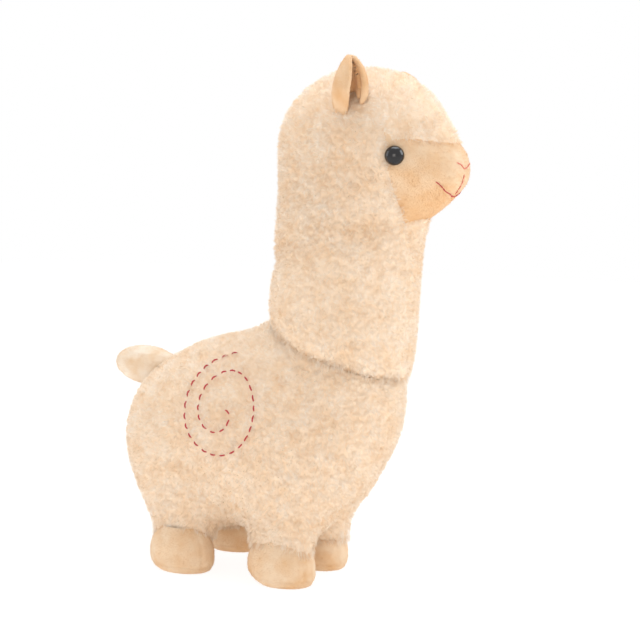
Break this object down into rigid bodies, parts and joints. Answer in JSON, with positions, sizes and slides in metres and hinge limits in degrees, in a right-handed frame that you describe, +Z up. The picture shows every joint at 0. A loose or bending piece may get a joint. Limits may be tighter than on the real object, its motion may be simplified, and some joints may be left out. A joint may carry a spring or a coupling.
{
  "type": "plush alpaca pillow",
  "caption": "Standing stuffed alpaca toy pillow with a long upright neck, small upright ears, stub tail, short legs with flat soles and a stitched spiral on its flank.",
  "frame": {"origin": "on the floor, under the middle of the whole toy", "axes": "+Z up; the animal faces -Y and its left side is +X"},
  "size_m": [0.1233, 0.2778, 0.3442],
  "materials": {
    "cream_fleece": "curly cream fleece",
    "cream_velboa": "short smooth plush",
    "white_filling": "loose polyester fibre",
    "dark_red_thread": "embroidery thread",
    "eye_plastic": "polished black",
    "washer_plastic": "plain"
  },
  "bodies": {
    "root": {"belly_panel": "cream_fleece", "body_filling": "white_filling", "body_panel_left": "cream_fleece", "body_panel_right": "cream_fleece", "ear_back_left": "cream_velboa", "ear_back_right": "cream_velboa", "ear_front_left": "cream_velboa", "ear_front_right": "cream_velboa", "eye_left": "eye_plastic", "eye_right": "eye_plastic", "eye_washer_left": "washer_plastic", "eye_washer_right": "washer_plastic", "face_panel_left": "cream_velboa", "face_panel_right": "cream_velboa", "foot_band_fore_left": "cream_velboa", "foot_band_fore_right": "cream_velboa", "foot_band_hind_left": "cream_velboa", "foot_band_hind_right": "cream_velboa", "hood_panel_left": "cream_fleece", "hood_panel_right": "cream_fleece", "lip_stitch": "dark_red_thread", "mouth_stitch": "dark_red_thread", "neck_and_head_filling": "white_filling", "neck_panel_left": "cream_fleece", "neck_panel_right": "cream_fleece", "nose_stitch": "dark_red_thread", "sole_fore_left": "cream_velboa", "sole_fore_right": "cream_velboa", "sole_hind_left": "cream_velboa", "sole_hind_right": "cream_velboa", "spiral_stitch": "dark_red_thread", "tail": "cream_velboa", "tail_filling": "white_filling"}
  },
  "joints": []
}
